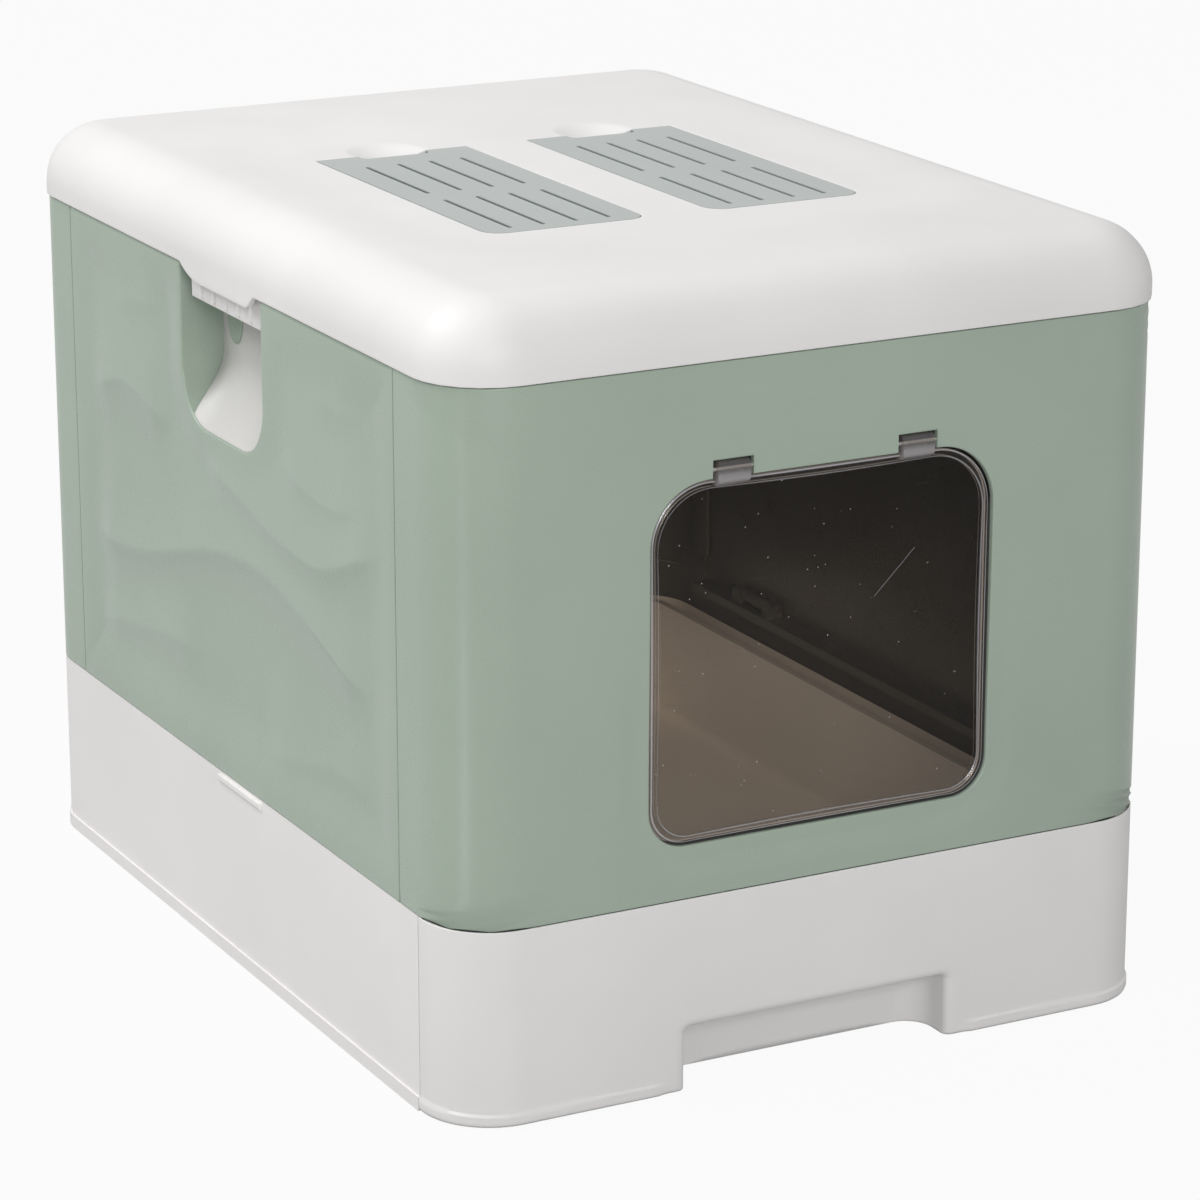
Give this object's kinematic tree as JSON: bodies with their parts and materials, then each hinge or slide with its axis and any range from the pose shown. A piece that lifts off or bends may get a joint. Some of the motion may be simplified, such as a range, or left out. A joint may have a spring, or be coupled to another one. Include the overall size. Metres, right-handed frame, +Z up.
{
  "type": "litter box",
  "caption": "Enclosed litter box with a pull-out litter drawer, flap door, folding side walls with handle notches, and a lift-off lid with two filter vents.",
  "frame": {"origin": "on the floor under the middle of the box", "axes": "+Z up, +X to the right seen from the front, +Y to the rear; the door and the drawer face -Y"},
  "size_m": [0.387, 0.5136, 0.3885],
  "materials": {
    "white_plastic": "satin moulded white",
    "green_plastic": "satin moulded sage green",
    "vent_plastic": "satin moulded grey green",
    "smoke_plastic": "clear smoke brown",
    "hinge_steel": "drawn wire",
    "filter_felt": "carbon felt"
  },
  "bodies": {
    "base": {"base_shell": "white_plastic", "front_panel": "green_plastic", "rear_panel": "green_plastic", "left_wall_pins": "hinge_steel", "right_wall_pins": "hinge_steel", "door_hinge_pins": "hinge_steel"},
    "drawer": {"drawer_front": "white_plastic", "litter_tray": "white_plastic"},
    "door": {"door_flap": "smoke_plastic"},
    "left_wall": {"left_side_panel": "green_plastic", "left_handle_cup": "white_plastic"},
    "right_wall": {"right_side_panel": "green_plastic", "right_handle_cup": "white_plastic"},
    "lid": {"lid_shell": "white_plastic", "left_filter_holder": "white_plastic", "right_filter_holder": "white_plastic", "left_filter_pad": "filter_felt", "right_filter_pad": "filter_felt"},
    "left_vent": {"left_vent_cover": "vent_plastic"},
    "right_vent": {"right_vent_cover": "vent_plastic"}
  },
  "joints": [
    {"name": "drawer_slide", "type": "slide", "parent": "base", "child": "drawer", "axis": [0, -1, 0], "range_m": [0, 0.4]},
    {"name": "door_swing", "type": "hinge", "parent": "base", "child": "door", "pos_m": [0, -0.253, 0.3006], "axis": [-1, 0, 0], "range_deg": [-80, 80]},
    {"name": "left_wall_fold", "type": "hinge", "parent": "base", "child": "left_wall", "pos_m": [-0.1843, 0, 0.101], "axis": [0, 1, 0], "range_deg": [0, 90]},
    {"name": "right_wall_fold", "type": "hinge", "parent": "base", "child": "right_wall", "pos_m": [0.1843, 0, 0.101], "axis": [0, -1, 0], "range_deg": [0, 80]},
    {"name": "lid_lift", "type": "slide", "parent": "base", "child": "lid", "axis": [0, 0, 1], "range_m": [0, 0.12]},
    {"name": "left_vent_lift", "type": "hinge", "parent": "lid", "child": "left_vent", "pos_m": [-0.0595, -0.104, 0.3845], "axis": [1, 0, 0], "range_deg": [0, 85]},
    {"name": "right_vent_lift", "type": "hinge", "parent": "lid", "child": "right_vent", "pos_m": [0.0595, -0.104, 0.3845], "axis": [1, 0, 0], "range_deg": [0, 85]}
  ]
}
